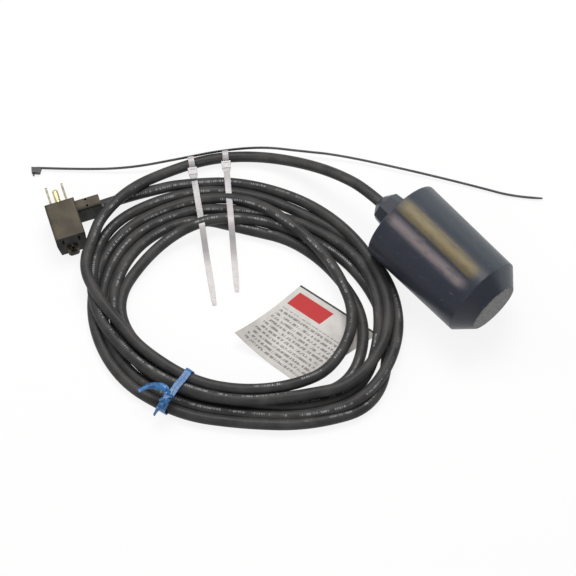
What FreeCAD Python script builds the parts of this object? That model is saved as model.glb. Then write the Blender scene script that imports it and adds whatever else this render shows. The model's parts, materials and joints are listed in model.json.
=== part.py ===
import FreeCAD, Part
import math
import os

os.makedirs("parts", exist_ok=True)
V = FreeCAD.Vector

# A tethered float switch, in millimetres, lying as it would on a bench.
# X runs along the float from its cord end to its tip, Z is up, and the origin
# is on the bench under the middle of the float.

# Float housing
float_length = 122.7
float_diameter = 69.6
draft_angle = 0.96
cone_length = 12.9
tip_diameter = 41.8
shell_wall = 3.0
tip_wall = 4.0
cone_lead_share = 0.35
edge_round = 0.8
cap_thickness = 3.5
cap_edge_round = 1.0
spigot_length = 8.0
spigot_wall = 3.0
boss_length = 21.8
boss_sides = 8
boss_base_width = 30.0
boss_end_width = 25.8
boss_taper_length = 5.4
boss_mouth_width = 12.0
boss_roll = -12.5
glue_gap = 0.05
fit_gap = 0.15
run_gap = 0.05

# Cord, its seal and the resin that closes the cap
cord_diameter = 8.7
cord_gap = 0.05
seal_diameter = 16.0
seal_length = 13.0
resin_depth = 4.5

# Ball track and carrier
ball_diameter = 25.4
ball_gap = 0.4
track_wall = 1.8
track_from_pivot = 3.5
track_end_gap = 0.14
flange_thickness = 3.0
flange_hole_share = 0.25
end_cap_thickness = 2.0
end_cap_lip = 2.0
cap_window_share = 0.24
cap_window_shift = 0.6
spine_thickness = 3.0
spine_rear_from_pivot = 21.0
spine_top = 24.0
spine_bottom = 15.5
ear_thickness = 3.0
ear_width = 7.0
ear_gap = 0.5

# Lever and its pin
pivot_from_shell = 33.05
pivot_height = 20.0
pin_diameter = 3.0
lever_hub_diameter = 6.4
lever_width = 9.0
lever_thickness = 1.4
lever_reach = 21.4
lever_swing = 7.0
contact_gap = 0.3

# Snap switch
switch_height = 27.8
switch_depth = 15.9
switch_width = 10.3
switch_from_pivot = 3.6
case_wall = 1.5
cover_thickness = 1.2
plunger_diameter = 3.0
plunger_drop = 12.0
plunger_length = 9.0
blade_spring_thickness = 0.3
blade_spring_width = 4.0
terminal_width = 6.3
terminal_thickness = 0.8
terminal_reach = 6.4
terminal_pitch = 7.6
terminal_inside = 4.5
screw_diameter = 3.0
screw_head_diameter = 5.6
screw_head_height = 1.8
screw_spacing = 22.2
screw_setback = 3.0
wire_diameter = 2.5
wire_spread = 2.1
wire_lead_out = 3.0
wire_bow = 4.25
wire_tuck = 2.0
wire_first_bend = (2.4, 1.2, 1.8)
wire_end_gap = 0.2

# Cord route: hand-chosen points of the two stretches that are not coiled
lead_route = [
    (-31.55, 0.0, 34.8),
    (-74.0, 0.0, 34.8),
    (-107.0, -5.0, 26.0),
    (-140.0, -15.0, 12.5),
    (-170.0, -34.0, 5.4),
    (-193.0, -62.0, 5.0),
    (-206.5, -95.5, 5.4),
    (-211.0, -131.0, 14.5),
    (-205.5, -164.0, 17.2),
]
tail_route = [
    (-190.0, -96.5, 5.1),
    (-201.5, -115.5, 5.1),
    (-211.2, -136.5, 6.0),
    (-217.1, -157.8, 10.0),
]

# Coil: centre, turn of its own axes, and its inner and outer reach by angle
coil_centre = (-77.2, -128.1)
coil_turn = 47.8
coil_reach = [
    (-90, 67.3, 101.7),
    (-62, 71.5, 113.0),
    (-38, 77.5, 129.0),
    (-10, 78.5, 121.5),
    (20, 71.0, 111.0),
    (55, 59.5, 103.7),
    (90, 60.0, 108.5),
    (120, 71.0, 116.5),
    (150, 80.5, 131.0),
    (180, 91.5, 122.5),
    (210, 80.6, 116.3),
    (240, 69.7, 105.3),
]
coil_lift = 0.8
coil_round = 3.0
upper_inset = 4.0
upper_round = 3.0
upper_gap_from = 60.0
upper_gap_to = 128.0
float_clearance = 0.5

# Piggyback plug, in its own frame: X across, Y out along the blades, Z up
plug_place = (-234.0, -182.3)
plug_turn = 67.0
plug_width = 23.6
plug_foot_width = 19.6
plug_height = 27.0
plug_length = 33.0
plug_round = 2.2
nose_width = 9.0
nose_height = 10.0
nose_reach = 3.0
relief_length = 19.0
relief_depth = 10.2
relief_setback = 0.8
relief_bottom = 1.4
relief_top = 22.0
relief_round = 2.4
relief_hole_diameter = 1.8
relief_hole_depth = 4.0
relief_hole_from_body = 8.3
relief_hole_spacing = 5.6
line_blade_spacing = 12.7
line_blade_height = 19.5
line_blade_width = 6.35
line_blade_thickness = 1.5
line_blade_reach = 17.0
line_blade_link = 1.0
line_blade_hole_diameter = 3.2
line_blade_hole_setback = 3.6
ground_pin_drop = 11.9
ground_pin_diameter = 4.8
ground_pin_reach = 20.6
ground_pin_link = 9.0
ground_pin_round = 1.9
ground_shank_diameter = 4.0
outlet_contact_wall = 0.5
outlet_contact_slot = 1.6
outlet_contact_height = 7.0
outlet_contact_depth = 12.0
outlet_face_depth = 3.0
outlet_ground_diameter = 5.0
outlet_ground_wall = 0.5

# Ties and tag
white_tie_width = 4.8
white_tie_thickness = 1.2
white_tie_head = (6.4, 7.6, 4.8)
white_tie_loop_diameter = 10.7
white_tie_loop_shift = (0.93, 0.5)
white_tie_climb = 2.6
white_tie_drop = 8.0
bench_gap = 0.2
white_ties = [
    ("white_tie_left", (-199.5, -77.2), -32.7, 124.5, 55.0),
    ("white_tie_right", (-184.0, -53.0), -37.0, 117.8, 58.0),
]
black_tie_width = 2.5
black_tie_thickness = 1.0
black_tie_head = (8.2, 5.2, 3.6)
black_tie_stub = (2.6, 1.2, 1.0)
black_tie_route = [
    (-281.5, -170.5, 2.0),
    (-253.5, -142.0, 2.2),
    (-229.0, -114.5, 4.6),
    (-208.2, -82.8, 8.4),
    (-190.4, -52.1, 9.5),
    (-170.4, -25.0, 9.2),
    (-148.8, -4.7, 6.4),
    (-126.5, 16.8, 4.0),
    (-76.0, 51.0, 3.2),
    (-31.5, 79.5, 2.2),
    (-4.5, 95.5, 1.8),
    (11.0, 111.0, 1.6),
]
coil_tie_angle = 236.0
coil_tie_width = 4.0
coil_tie_thickness = 0.5
coil_tie_gap = 1.0
coil_tie_knot = (7.0, 6.0, 3.0)
coil_tie_knot_setback = 4.0
coil_tie_ear = (3.0, 1.0)
coil_tie_ears = [(-69.0, 22.0), (-12.0, 13.0)]
tag_thickness = 0.5
tag_height = 0.15
tag_corners = [(-62.2, -82.8), (-62.0, -151.5), (-0.8, -139.9), (8.3, -67.1)]
tag_lift = 13.2
tag_curl_from = 0.25
tag_curl_across = 0.65
tag_curl_steps = (0.0, 0.4, 0.75, 0.97)

float_radius = float_diameter / 2
cord_radius = cord_diameter / 2
ball_radius = ball_diameter / 2
axis_height = float_radius
boss_face_x = -float_length / 2
cap_x = boss_face_x + boss_length
shell_x = cap_x + cap_thickness
tip_x = float_length / 2
cone_x = tip_x - cone_length
pivot_x = shell_x + pivot_from_shell
track_start_x = pivot_x + track_from_pivot
spine_rear_x = pivot_x - spine_rear_from_pivot
switch_front_x = pivot_x - switch_from_pivot
ALONG_X = V(1, 0, 0)
ALONG_Y = V(0, 1, 0)
ALONG_Z = V(0, 0, 1)


def box(x0, x1, y0, y1, z0, z1):
    return Part.makeBox(x1 - x0, y1 - y0, z1 - z0, V(x0, y0, z0))


def rod_x(radius, x0, x1, y=0.0, z=0.0):
    return Part.makeCylinder(radius, x1 - x0, V(x0, y, z), ALONG_X)


def rod_y(radius, y0, y1, x=0.0, z=0.0):
    return Part.makeCylinder(radius, y1 - y0, V(x, y0, z), ALONG_Y)


def turned(outline):
    """A solid turned about the X axis from (x, radius) points."""
    points = [V(x, 0, radius) for x, radius in outline]
    face = Part.Face(Part.makePolygon(points + points[:1]))
    return face.revolve(V(0, 0, 0), ALONG_X, 360)


def at_axis(shape):
    """The float's pieces are drawn about their own axis and then raised to it."""
    shape.translate(V(0, 0, axis_height))
    return shape


def round_edges(shape, radius, wanted):
    return shape.makeFillet(radius, [edge for edge in shape.Edges if wanted(edge)])


def save(node, shape):
    shape = shape.removeSplitter()
    assert shape.isValid(), node
    shape.exportStep("parts/" + node + ".step")


# Routes

def unit_between(a, b):
    return (b - a).normalize()


def route_wire(points):
    """Straight runs joined by tangent arcs, and the smallest radius."""
    points = [V(*point) for point in points]
    edges = []
    start = points[0]
    radii = []
    for before, corner, after in zip(points, points[1:], points[2:]):
        back = unit_between(corner, before)
        ahead = unit_between(corner, after)
        setback = 0.45 * min((before - corner).Length, (after - corner).Length)
        half_turn = (math.pi - back.getAngle(ahead)) / 2
        radii.append(setback / math.tan(half_turn))
        arc_start = corner + back * setback
        arc_end = corner + ahead * setback
        middle = (back + ahead).normalize()
        reach = radii[-1] / math.cos(half_turn)
        arc_middle = corner + middle * (reach - radii[-1])
        edges.append(Part.LineSegment(start, arc_start).toShape())
        edges.append(Part.Arc(arc_start, arc_middle, arc_end).toShape())
        start = arc_end
    edges.append(Part.LineSegment(start, points[-1]).toShape())
    return Part.Wire(edges), min(radii)


def tube(name, points, radius):
    """A round cord along a route, with its radii and volume reported."""
    path, tightest = route_wire(points)
    start = path.Edges[0]
    circle = Part.Circle(start.valueAt(start.FirstParameter), start.tangentAt(start.FirstParameter), radius)
    solid = path.makePipeShell([Part.Wire(circle.toShape())], True, True)
    expected = math.pi * radius ** 2 * path.Length
    print(name, "length %.1f" % path.Length, "tightest radius %.1f" % tightest,
          "volume share %.4f" % (solid.Volume / expected))
    return solid


# Float housing

def outside_radius(x):
    """The moulding narrows towards the tip by its draft."""
    return float_radius - math.tan(math.radians(draft_angle)) * (x - cap_x)


def cavity_radius(x):
    return outside_radius(x) - shell_wall


def inside_cone_x():
    """Where the cavity starts to narrow, a little before the outside does."""
    return cone_x - shell_wall * cone_lead_share


def float_shell():
    cone_slope = (outside_radius(cone_x) - tip_diameter / 2) / cone_length
    inner_tip_x = tip_x - tip_wall
    inner_cone_x = inside_cone_x()
    inner_tip_radius = cavity_radius(inner_cone_x) - cone_slope * (inner_tip_x - inner_cone_x)
    shell = turned([
        (shell_x, outside_radius(shell_x)),
        (cone_x, outside_radius(cone_x)),
        (tip_x, tip_diameter / 2),
        (tip_x, 0),
        (inner_tip_x, 0),
        (inner_tip_x, inner_tip_radius),
        (inner_cone_x, cavity_radius(inner_cone_x)),
        (shell_x, cavity_radius(shell_x)),
    ])

    def outer_corner(edge):
        middle = edge.CenterOfMass
        on_axis = abs(middle.y) < 0.01 and abs(middle.z) < 0.01
        return on_axis and (abs(middle.x - cone_x) < 0.01 or abs(middle.x - tip_x) < 0.01)

    return round_edges(shell, edge_round, outer_corner)


def octagon(x, width_across_corners):
    points = []
    for corner in range(boss_sides):
        angle = math.radians(boss_roll + 360 / boss_sides * (corner + 0.5))
        radius = width_across_corners / 2
        points.append(V(x, radius * math.sin(angle), radius * math.cos(angle)))
    return Part.makePolygon(points + points[:1])


def float_cap():
    """End cap, its glued spigot and the eight-sided boss that holds the cord."""
    spigot_end = shell_x + spigot_length
    spigot_radius = cavity_radius(spigot_end) - glue_gap
    cap = rod_x(float_radius, cap_x, shell_x)
    cap = cap.makeFillet(cap_edge_round, [e for e in cap.Edges if abs(e.CenterOfMass.x - cap_x) < 0.01])
    spigot = rod_x(spigot_radius, shell_x, spigot_end)
    spigot = spigot.cut(rod_x(spigot_radius - spigot_wall, shell_x, spigot_end))
    taper_x = boss_face_x + boss_taper_length
    boss = Part.makeLoft([octagon(cap_x, boss_base_width), octagon(taper_x, boss_end_width)], True, True)
    mouth = octagon(boss_face_x, boss_mouth_width)
    end = Part.makeLoft([octagon(taper_x, boss_end_width), mouth], True, True)
    cap = cap.fuse([spigot, boss, end])
    bore = rod_x(cord_radius + fit_gap, boss_face_x, shell_x)
    pocket = rod_x(seal_diameter / 2, shell_x - seal_length, shell_x)
    return cap.cut(bore.fuse(pocket))


def ring(outer_radius, inner_radius, x0, x1):
    return rod_x(outer_radius, x0, x1).cut(rod_x(inner_radius, x0, x1))


def cord_seal():
    seal = ring(seal_diameter / 2 - glue_gap, cord_radius + cord_gap, shell_x - seal_length, shell_x)
    return seal


def resin_plug():
    spigot_inside = cavity_radius(shell_x + spigot_length) - glue_gap - spigot_wall
    return ring(spigot_inside - glue_gap, cord_radius + cord_gap, shell_x, shell_x + resin_depth)


# Ball track, lever and snap switch

def track_end():
    """The track fills the float up to its cap, which stands at the start of the cone."""
    return inside_cone_x() - end_cap_thickness - track_end_gap


def ball_rest_x():
    return track_end() - contact_gap - ball_radius


def lever_push():
    """How far the lever's face moves where the ball meets it."""
    return pivot_height * math.sin(math.radians(lever_swing))


def ball_travel():
    """From the tip-end rest to the lever at full swing."""
    lever_face = pivot_x + lever_thickness / 2 - lever_push()
    return ball_rest_x() - ball_radius - contact_gap - lever_face


def switch_carrier():
    """One moulding: track tube, flange, spine for the switch and an ear for the pin."""
    inside = ball_radius + ball_gap
    outside = inside + track_wall
    flange_end = track_start_x + flange_thickness
    flange_radius = cavity_radius(flange_end) - fit_gap
    carrier = rod_x(outside, track_start_x, track_end())
    carrier = carrier.fuse(rod_x(flange_radius, track_start_x, flange_end))
    carrier = carrier.cut(rod_x(inside, track_start_x, track_end()))
    spine_face = -switch_width / 2
    spine_back = spine_face - spine_thickness
    spine = box(spine_rear_x, track_start_x, spine_back, spine_face, -spine_bottom, spine_top)
    ear_face = lever_width / 2 + ear_gap
    ear = box(pivot_x - ear_width / 2, track_start_x, ear_face, ear_face + ear_thickness,
              pivot_height - ear_width / 2, spine_top)
    boss = rod_y(pin_diameter, spine_face, -lever_width / 2 - run_gap, pivot_x, pivot_height)
    carrier = carrier.fuse([spine, ear, boss])
    holes = [rod_y(pin_diameter / 2, spine_back, ear_face + ear_thickness, pivot_x, pivot_height)]
    for x, z in screw_places():
        holes.append(rod_y(screw_diameter / 2, spine_back, spine_face, x, z))
    lighten = rod_x(flange_hole_share * (flange_radius - outside), track_start_x, flange_end)
    middle = (outside + flange_radius) / 2
    for turn in (-50, 50, 130, 230):
        hole = lighten.copy()
        angle = math.radians(turn)
        hole.translate(V(0, middle * math.sin(angle), middle * math.cos(angle)))
        holes.append(hole)
    holes.append(Part.makeSphere(inside, V(ball_rest_x() - ball_travel(), 0, 0)))
    return carrier.cut(Part.makeCompound(holes))


def track_cap():
    """Snapped over the tip end of the track; it stops the ball and centres the carrier."""
    near = track_end()
    far = near + end_cap_thickness
    outside = ball_radius + ball_gap + track_wall
    disc_radius = cavity_radius(far) - fit_gap
    cap = rod_x(disc_radius, near, far)
    lip_inside = outside + fit_gap
    lip = ring(lip_inside + end_cap_lip, lip_inside, near - end_cap_lip * 2.5, near)
    window_width = disc_radius - outside - end_cap_lip
    middle = (outside + end_cap_lip + disc_radius) / 2 + cap_window_shift
    windows = []
    for step in range(6):
        angle = math.radians(60 * step)
        windows.append(rod_x(cap_window_share * window_width, near, far,
                             middle * math.sin(angle), middle * math.cos(angle)))
    return cap.fuse(lip).cut(Part.makeCompound(windows))


def steel_ball():
    return Part.makeSphere(ball_radius, V(ball_rest_x(), 0, 0))


def ball_lever():
    """A flat paddle that hangs from its hub in front of the plunger."""
    half = lever_width / 2
    hub = rod_y(lever_hub_diameter / 2, -half, half, pivot_x, pivot_height)
    plate = box(pivot_x - lever_thickness / 2, pivot_x + lever_thickness / 2, -half, half,
                pivot_height - lever_reach, pivot_height)
    foot_z = pivot_height - lever_reach

    def foot_corner(edge):
        middle = edge.CenterOfMass
        return abs(middle.z - foot_z) < 0.01 and abs(abs(middle.y) - half) < 0.01

    plate = round_edges(plate, 3.0, foot_corner)
    return hub.fuse(plate).cut(rod_y(pin_diameter / 2 + run_gap, -half, half, pivot_x, pivot_height))


def lever_pin():
    near = -switch_width / 2 - spine_thickness
    far = lever_width / 2 + ear_gap + ear_thickness
    return rod_y(pin_diameter / 2, near, far, pivot_x, pivot_height)


def screw_places():
    """Two screws, one near each end of the switch, in opposite corners."""
    front = switch_front_x - screw_setback
    rear = switch_front_x - switch_depth + screw_setback
    return [(rear, screw_spacing / 2), (front, -screw_spacing / 2)]


def plunger_height():
    return pivot_height - plunger_drop


def plunger_tip_x():
    return pivot_x - lever_thickness / 2 - contact_gap


def terminal_boxes(gap=0.0):
    """Common, rest and pressed terminals through the rear wall of the case."""
    rear = switch_front_x - switch_depth
    boxes = []
    for step in (-1, 0, 1):
        middle = step * terminal_pitch
        inner_x = rear + case_wall + terminal_inside if step else rear + case_wall + terminal_inside / 2
        if step < 0:
            inner_x = blade_spring_x()
        boxes.append(box(rear - terminal_reach, inner_x, -terminal_width / 2 - gap, terminal_width / 2 + gap,
                         middle - terminal_thickness / 2 - gap, middle + terminal_thickness / 2 + gap))
    return boxes


def blade_spring_x():
    """Rear face of the contact spring, clear of the plunger at full travel."""
    travel = plunger_drop * math.sin(math.radians(lever_swing))
    return plunger_tip_x() - plunger_length - travel - contact_gap - blade_spring_thickness


def switch_case():
    rear = switch_front_x - switch_depth
    half = switch_height / 2
    cover_face = switch_width / 2 - cover_thickness
    case = box(rear, switch_front_x, -switch_width / 2, cover_face, -half, half)
    case = round_edges(case, 1.0, lambda e: abs(e.Length - (switch_width - cover_thickness)) < 0.01)
    hollow = box(rear + case_wall, switch_front_x - case_wall, -switch_width / 2 + case_wall, cover_face,
                 -half + case_wall, half - case_wall)
    case = case.cut(hollow)
    for x, z in screw_places():
        post = rod_y(screw_diameter / 2 + 1.2, -switch_width / 2, cover_face, x, z)
        case = case.fuse(post)
    for x, z in screw_places():
        case = case.cut(rod_y(screw_diameter / 2 + fit_gap, -switch_width / 2, cover_face, x, z))
    guide_radius = plunger_diameter / 2 + run_gap
    guide = rod_x(guide_radius, switch_front_x - case_wall, switch_front_x, 0, plunger_height())
    wall_only = box(rear, rear + case_wall, -switch_width / 2, cover_face, -half, half)
    slots = [slot.common(wall_only) for slot in terminal_boxes(glue_gap)]
    return case.cut(Part.makeCompound([guide] + slots))


def switch_cover():
    rear = switch_front_x - switch_depth
    half = switch_height / 2
    cover = box(rear, switch_front_x, switch_width / 2 - cover_thickness, switch_width / 2, -half, half)
    cover = round_edges(cover, 1.0, lambda e: abs(e.Length - cover_thickness) < 0.01)
    holes = [rod_y(screw_diameter / 2 + fit_gap, 0, switch_width, x, z) for x, z in screw_places()]
    return cover.cut(Part.makeCompound(holes))


def switch_plunger():
    tip = plunger_tip_x()
    plunger = rod_x(plunger_diameter / 2, tip - plunger_length, tip, 0, plunger_height())
    plunger = round_edges(plunger, 0.8, lambda e: abs(e.CenterOfMass.x - tip) < 0.01)
    collar_x = switch_front_x - case_wall - contact_gap
    return plunger.fuse(rod_x(plunger_diameter / 2 + 0.7, collar_x - 1.2, collar_x, 0, plunger_height()))


def contact_spring():
    """A leaf that stands on the common terminal behind the plunger."""
    x = blade_spring_x()
    foot = -terminal_pitch + terminal_thickness / 2
    half = blade_spring_width / 2
    return box(x, x + blade_spring_thickness, -half, half, foot, switch_height / 2 - case_wall - 1.0).fuse(
        box(x - 2.4, x, -half, half, foot, foot + blade_spring_thickness))


def switch_terminals():
    return Part.makeCompound(terminal_boxes())


def switch_screws():
    screws = []
    for x, z in screw_places():
        shank = rod_y(screw_diameter / 2, -switch_width / 2 - spine_thickness, switch_width / 2, x, z)
        head = rod_y(screw_head_diameter / 2, switch_width / 2, switch_width / 2 + screw_head_height, x, z)
        driver = box(x - screw_head_diameter / 2, x + screw_head_diameter / 2,
                     switch_width / 2 + screw_head_height / 2, switch_width / 2 + screw_head_height,
                     z - 0.4, z + 0.4)
        screws.append(shank.fuse(head).cut(driver))
    return Part.makeCompound(screws)


def wire(name, side):
    """A core from the cord's end to the side of an outer terminal."""
    cord_end = shell_x + resin_depth
    terminal_x = switch_front_x - switch_depth - terminal_reach / 2
    terminal_side = terminal_width / 2
    bend, spread, climb = wire_first_bend
    points = [
        (cord_end, side * wire_spread, 0),
        (cord_end + wire_lead_out, bend + side * spread, side * climb),
        (terminal_x - wire_end_gap, terminal_side + wire_bow, side * (terminal_pitch - wire_tuck)),
        (terminal_x, terminal_side, side * terminal_pitch),
    ]
    return tube(name, points, wire_diameter / 2)


# Coil

def coil_point(angle, reach):
    turn = math.radians(angle + coil_turn)
    return V(coil_centre[0] + reach * math.cos(turn), coil_centre[1] + reach * math.sin(turn), 0)


def coil_outline(reaches):
    curve = Part.BSplineCurve()
    curve.interpolate([coil_point(angle, reach) for angle, reach in reaches], PeriodicFlag=True)
    return Part.Face(Part.Wire(curve.toShape()))


def coil_ring(inset, bottom, top, rounding):
    """The ring between the innermost and the outermost turn, rounded along its top."""
    up = V(0, 0, top - bottom)
    outer = coil_outline([(angle, far - inset) for angle, near, far in coil_reach]).extrude(up)
    inner = coil_outline([(angle, near + inset) for angle, near, far in coil_reach]).extrude(up)
    outer.translate(V(0, 0, bottom))
    inner.translate(V(0, 0, bottom))
    return round_edges(outer.cut(inner), rounding, lambda e: abs(e.CenterOfMass.z - top) < 0.01)


def cord_coil():
    """One turn deep all round, two deep where turns cross, and clear of the float."""
    deep = cord_diameter + bench_gap
    lower = coil_ring(0, coil_lift, coil_lift + deep, coil_round)
    upper = coil_ring(upper_inset, coil_lift + deep / 2, coil_lift + 2 * deep, upper_round)
    near = coil_point(0, 0)
    wedge = Part.makePolygon([near, coil_point(upper_gap_from, 2 * float_length),
                              coil_point(upper_gap_to, 2 * float_length), near])
    upper = upper.cut(Part.Face(wedge).extrude(V(0, 0, 4 * deep)))
    coil = lower.fuse(upper)
    keep_out = float_radius + float_clearance
    float_room = rod_x(keep_out, cap_x - float_clearance, tip_x, 0, axis_height)
    return coil.cut(float_room)


# Plug

def at_plug(shape):
    shape.rotate(V(0, 0, 0), ALONG_Z, plug_turn)
    shape.translate(V(plug_place[0], plug_place[1], 0))
    return shape


def line_blade_end():
    """Inner end of a blade, where the link to its outlet contact starts."""
    return outlet_face_depth + outlet_contact_depth + line_blade_link - plug_length


def ground_pin_end():
    return outlet_face_depth + outlet_contact_depth + ground_pin_link - plug_length - nose_reach


def line_blade(side):
    x = side * line_blade_spacing / 2
    half = line_blade_width / 2
    z = line_blade_height
    blade = box(x - line_blade_thickness / 2, x + line_blade_thickness / 2,
                line_blade_end(), line_blade_reach, z - half, z + half)
    blade = round_edges(blade, 1.6, lambda e: abs(e.CenterOfMass.y - line_blade_reach) < 0.01
                        and abs(e.Length - line_blade_thickness) < 0.01)
    hole_y = line_blade_reach - line_blade_hole_setback
    hole = rod_x(line_blade_hole_diameter / 2, x - 1, x + 1, hole_y, z)
    return blade.cut(hole)


def ground_height():
    return line_blade_height - ground_pin_drop


def ground_pin():
    pin = rod_y(ground_pin_diameter / 2, 0, ground_pin_reach, 0, ground_height())
    pin = round_edges(pin, ground_pin_round, lambda e: abs(e.CenterOfMass.y - ground_pin_reach) < 0.01)
    return pin.fuse(rod_y(ground_shank_diameter / 2, ground_pin_end(), 0, 0, ground_height()))


def outlet_contact(side):
    """A folded brass socket: two leaves joined at the end that meets the blade."""
    x = side * line_blade_spacing / 2
    outer = outlet_contact_slot / 2 + outlet_contact_wall
    half = outlet_contact_height / 2
    rear = outlet_face_depth - plug_length
    front = rear + outlet_contact_depth
    contact = box(x - outer, x + outer, rear, front, line_blade_height - half, line_blade_height + half)
    slot = box(x - outlet_contact_slot / 2, x + outlet_contact_slot / 2, rear, front - outlet_contact_wall,
               line_blade_height - half, line_blade_height + half)
    link = box(x - line_blade_thickness / 2, x + line_blade_thickness / 2, front, line_blade_end(),
               line_blade_height - 2, line_blade_height + 2)
    return contact.cut(slot).fuse(link)


def outlet_ground():
    rear = outlet_face_depth - plug_length - nose_reach
    front = rear + outlet_contact_depth
    radius = outlet_ground_diameter / 2
    sleeve = rod_y(radius + outlet_ground_wall, rear, front, 0, ground_height())
    link = rod_y(radius, front, ground_pin_end(), 0, ground_height())
    return sleeve.cut(rod_y(radius, rear, front - outlet_contact_wall, 0, ground_height())).fuse(link)


def plug_block():
    """The moulding itself: narrower at its foot, with a nose round the ground socket."""
    top = plug_width / 2
    foot = plug_foot_width / 2
    section = Part.makePolygon([V(-foot, 0, 0), V(foot, 0, 0), V(top, 0, plug_height * 0.55),
                                V(top, 0, plug_height), V(-top, 0, plug_height),
                                V(-top, 0, plug_height * 0.55), V(-foot, 0, 0)])
    block = Part.Face(section).extrude(V(0, -plug_length, 0))

    def long_or_rear(edge):
        middle = edge.CenterOfMass
        along = abs(edge.Length - plug_length) < 0.01 and middle.z > plug_height * 0.6
        return along or (abs(middle.y) < 0.01 and middle.z > plug_height - 0.01)

    block = round_edges(block, plug_round, long_or_rear)
    nose = box(-nose_width / 2, nose_width / 2, -plug_length - nose_reach, -plug_length, 0, nose_height)
    nose = nose.makeChamfer(1.6, [e for e in nose.Edges if abs(e.Length - nose_height) < 0.01
                                  and e.CenterOfMass.y < -plug_length - 1])
    return block.fuse(nose)


def plug_relief():
    """Side block that grips the cord, with two small holes in its top."""
    side = plug_width / 2
    back = -relief_setback - relief_depth
    relief = box(side - 2.0, side + relief_length, back, -relief_setback, relief_bottom, relief_top)

    def free_long_edge(edge):
        along = abs(edge.Length - relief_length - 2.0) < 0.01
        return along and edge.CenterOfMass.z > relief_top - 0.01

    relief = round_edges(relief, relief_round, free_long_edge)
    middle = -relief_setback - relief_depth / 2
    holes = []
    for side_step in (-0.5, 0.5):
        y = middle + side_step * relief_hole_spacing
        holes.append(Part.makeCylinder(relief_hole_diameter / 2, relief_hole_depth,
                                       V(side + relief_hole_from_body, y, relief_top - relief_hole_depth)))
    return relief.cut(Part.makeCompound(holes))


def plug_body(metal):
    """The moulding with the metal's exact room and the three outlet openings."""
    body = plug_block().fuse(plug_relief())
    rear = -plug_length
    openings = []
    for side in (-1, 1):
        x = side * line_blade_spacing / 2
        half = outlet_contact_slot / 2
        openings.append(box(x - half, x + half, rear, rear + outlet_face_depth + outlet_contact_depth
                            - outlet_contact_wall, line_blade_height - outlet_contact_height / 2,
                            line_blade_height + outlet_contact_height / 2))
    openings.append(rod_y(outlet_ground_diameter / 2, rear - nose_reach,
                          rear - nose_reach + outlet_face_depth + outlet_contact_depth - outlet_contact_wall,
                          0, ground_height()))
    for shape in openings + metal:
        body = body.cut(shape)
    return body


# Ties and tag

def on_lead(place):
    """The middle of the cord over a place on the bench."""
    upright = Part.makeLine(V(place[0], place[1], -float_length), V(place[0], place[1], float_length))
    path, tightest = route_wire(lead_route)
    return path.distToShape(upright)[1][0][0]


def white_tie(place, turn, reach, over_coil):
    """Loop round the cord, square head, and a long tail that lies over the coil."""
    centre = on_lead(place)
    half = white_tie_width / 2
    inner = white_tie_loop_diameter / 2
    outer = inner + white_tie_thickness
    back, up = white_tie_loop_shift
    loop = rod_y(outer, -half, half, -back, centre.z + up)
    loop = loop.cut(rod_y(inner, -half, half, -back, centre.z + up))
    loop = loop.cut(box(-outer * 2, outer * 2, -half, half, -outer, bench_gap))
    long, wide, tall = white_tie_head
    head_x = inner - back
    strap_z = centre.z + up
    head = box(head_x, head_x + long, -wide / 2, wide / 2, strap_z - tall / 2, strap_z + tall / 2)
    coil_top = coil_lift + cord_diameter + 2 * bench_gap
    climb_end = head_x + long + white_tie_climb
    over_end = climb_end + over_coil
    middle_line = [
        (head_x + white_tie_thickness, strap_z),
        (head_x + long, strap_z),
        (climb_end, coil_top),
        (over_end, coil_top),
        (over_end + white_tie_drop, bench_gap),
        (reach, bench_gap),
    ]
    lower = [V(x, -half, z) for x, z in middle_line]
    upper = [V(x, -half, z + white_tie_thickness) for x, z in reversed(middle_line)]
    tail = Part.Face(Part.makePolygon(lower + upper + lower[:1])).extrude(V(0, white_tie_width, 0))
    tie = loop.fuse([head, tail])
    tie.rotate(V(0, 0, 0), ALONG_Z, turn)
    tie.translate(V(centre.x, centre.y, 0))
    return tie


def black_tie():
    """A long thin tie that lies on its edge and runs along the top of the cord."""
    path, tightest = route_wire(black_tie_route)
    first = V(*black_tie_route[0])
    ahead = unit_between(first, V(*black_tie_route[1]))
    across = ALONG_Z.cross(ahead).normalize()
    half = black_tie_width / 2
    thick = black_tie_thickness / 2
    corners = [first + across * a + ALONG_Z * b
               for a, b in ((-thick, -half), (thick, -half), (thick, half), (-thick, half))]
    sweep = Part.BRepOffsetAPI.MakePipeShell(path)
    sweep.setBiNormalMode(ALONG_Z)
    sweep.add(Part.makePolygon(corners + corners[:1]))
    sweep.build()
    sweep.makeSolid()
    strap = sweep.shape()
    long, wide, tall = black_tie_head
    head = box(-long / 2, long / 2, -wide, 0, -tall / 2, tall / 2)
    stub_long, stub_wide, stub_tall = black_tie_stub
    stub = box(-stub_wide / 2, stub_wide / 2, -wide - stub_long, -wide, -stub_tall / 2, stub_tall / 2)
    head = head.fuse(stub)
    head.rotate(V(0, 0, 0), ALONG_Z, math.degrees(math.atan2(ahead.y, ahead.x)))
    head.translate(first)
    return strap.fuse(head)


def coil_span(angle):
    """Inner and outer reach of the coil at an angle."""
    ray = Part.makeLine(coil_point(0, 0), coil_point(angle, 2 * float_length))
    spans = []
    for column in (1, 2):
        face = coil_outline([(row[0], row[column]) for row in coil_reach])
        crossing = ray.distToShape(face.OuterWire)[1][0][0]
        spans.append(crossing.distanceToPoint(coil_point(0, 0)))
    return spans


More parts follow.
